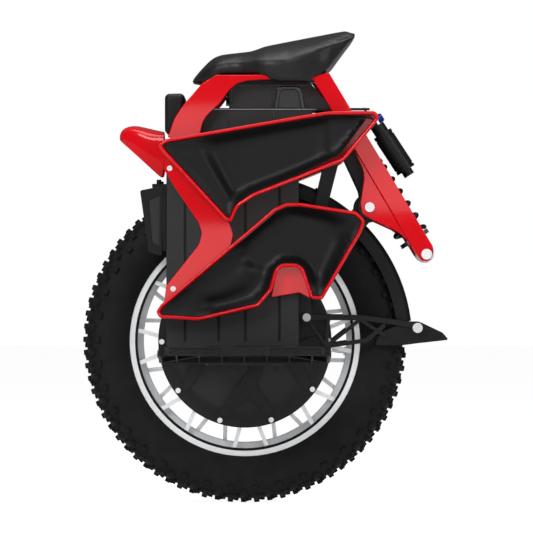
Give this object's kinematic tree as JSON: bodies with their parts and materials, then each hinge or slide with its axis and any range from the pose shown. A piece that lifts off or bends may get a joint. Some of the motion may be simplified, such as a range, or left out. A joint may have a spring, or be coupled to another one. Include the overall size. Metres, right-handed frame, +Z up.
{
  "type": "electric unicycle",
  "caption": "Self-balancing electric unicycle with one wheel on a sprung swing arm, folding pedals, leg pads, seat and trolley handle.",
  "frame": {"origin": "on the ground directly below the middle of the axle", "axes": "+Z up, -X forward (to the nose and headlights), -Y the rider's left"},
  "size_m": [0.5951, 0.5198, 0.7731],
  "materials": {
    "red_paint": "gloss",
    "red_plastic": "gloss",
    "black_paint": "satin",
    "black_plastic": "satin",
    "gloss_black": "gloss",
    "tyre_rubber": "matte",
    "tube_rubber": "matte",
    "silver_alloy": "satin",
    "black_alloy": "satin",
    "steel": "brushed",
    "bolt_chrome": "polished",
    "core_steel": "satin",
    "copper": "satin",
    "seat_vinyl": "satin",
    "cell_wrap": "satin",
    "board": "satin",
    "lens": "clear",
    "reflector": "gloss",
    "blue_anodised": "satin"
  },
  "bodies": {
    "chassis": {"hoop_left": "red_paint", "hoop_right": "red_paint", "cross_tubes": "red_paint", "frame_bolts": "bolt_chrome", "battery_cases": "black_alloy", "battery_covers": "black_paint", "battery_packs": "cell_wrap", "frame_core": "black_alloy", "heat_sink": "black_alloy", "deck_plate": "black_alloy", "control_box": "black_plastic", "control_lid": "black_plastic", "controller_board": "board", "charge_socket": "black_plastic", "seat_base": "black_plastic", "seat_cushion": "seat_vinyl", "upper_pads": "red_plastic", "lower_pads": "red_plastic", "pad_liners": "black_plastic", "side_plates": "red_paint", "nose": "red_plastic", "lamp_brackets": "black_plastic", "pedal_hangers": "black_alloy", "pedal_pins": "steel", "trolley_sleeves": "black_alloy"},
    "swing": {"axle": "steel", "stator": "core_steel", "windings": "copper", "swing_arm": "black_alloy", "mudguard": "black_plastic", "stays": "black_alloy", "stay_bolts": "steel", "tail_fender": "gloss_black", "tail_reflectors": "reflector", "shock_pin": "steel"},
    "wheel": {"tyre": "tyre_rubber", "inner_tube": "tube_rubber", "rim": "silver_alloy", "valve_stem": "bolt_chrome", "motor_covers": "black_alloy", "cover_bolts": "bolt_chrome", "magnet_ring": "core_steel", "wheel_bearings": "steel"},
    "shock_lower": {"shock_shaft": "steel", "shock_spring": "black_paint"},
    "shock_upper": {"shock_body": "black_alloy", "preload_collar": "black_alloy", "reservoir": "black_alloy"},
    "adjuster": {"damping_knob": "blue_anodised"},
    "power_button": {"power_button": "gloss_black"},
    "charge_cap": {"charge_cap": "tube_rubber"},
    "lamp_left": {"lamp_left": "black_plastic", "lamp_lens_left": "lens"},
    "lamp_right": {"lamp_right": "black_plastic", "lamp_lens_right": "lens"},
    "pedal_left": {"pedal_left": "black_alloy"},
    "pedal_right": {"pedal_right": "black_alloy"},
    "trolley_handle": {"trolley_handle": "black_plastic"},
    "handle_button": {"handle_button": "gloss_black"}
  },
  "joints": [
    {"name": "swing_pivot", "type": "hinge", "parent": "chassis", "child": "swing", "pos_m": [0.2025, 0, 0.4827], "axis": [0, 1, 0], "range_deg": [0, 15], "stiffness_Nm_per_rad": 300, "springref_deg": -11.46},
    {"name": "wheel_spin", "type": "hinge", "parent": "swing", "child": "wheel", "pos_m": [0, 0, 0.265], "axis": [0, 1, 0], "continuous": true},
    {"name": "shock_swing", "type": "hinge", "parent": "chassis", "child": "shock_lower", "pos_m": [0.2946, 0, 0.4065], "axis": [0, 1, 0], "range_deg": [0, 9], "deforming": ["shock_spring"]},
    {"name": "shock_slide", "type": "slide", "parent": "shock_lower", "child": "shock_upper", "axis": [-0.5464, 0, 0.8375], "range_m": [-0.0125, 0]},
    {"name": "adjuster_turn", "type": "hinge", "parent": "shock_upper", "child": "adjuster", "pos_m": [0.22102, 0, 0.62965], "axis": [0.8375, 0, 0.5464], "range_deg": [-135, 135]},
    {"name": "power_button_press", "type": "slide", "parent": "chassis", "child": "power_button", "axis": [1, 0, 0], "range_m": [0, 0.002], "stiffness_N_per_m": 400},
    {"name": "charge_cap_hinge", "type": "hinge", "parent": "chassis", "child": "charge_cap", "pos_m": [-0.0299, 0.04, 0.679], "axis": [0, 1, 0], "range_deg": [0, 100]},
    {"name": "lamp_tilt_left", "type": "hinge", "parent": "chassis", "child": "lamp_left", "pos_m": [-0.146, -0.088, 0.47], "axis": [0, 1, 0], "range_deg": [-6, 6]},
    {"name": "lamp_tilt_right", "type": "hinge", "parent": "chassis", "child": "lamp_right", "pos_m": [-0.146, 0.088, 0.47], "axis": [0, 1, 0], "range_deg": [-6, 6]},
    {"name": "pedal_fold_left", "type": "hinge", "parent": "chassis", "child": "pedal_left", "pos_m": [0, -0.15, 0.236], "axis": [-1, 0, 0], "range_deg": [0, 70]},
    {"name": "pedal_fold_right", "type": "hinge", "parent": "chassis", "child": "pedal_right", "pos_m": [0, 0.15, 0.236], "axis": [1, 0, 0], "range_deg": [0, 70]},
    {"name": "trolley_extend", "type": "slide", "parent": "chassis", "child": "trolley_handle", "axis": [0, 0, 1], "range_m": [0, 0.29]},
    {"name": "handle_button_press", "type": "slide", "parent": "trolley_handle", "child": "handle_button", "axis": [0, 0, -1], "range_m": [0, 0.002], "stiffness_N_per_m": 400}
  ],
  "couplings": [
    {"joint": "shock_swing", "follows": "swing_pivot", "ratio": 0.5462},
    {"joint": "shock_slide", "follows": "swing_pivot", "m_per_rad": -0.0422}
  ]
}
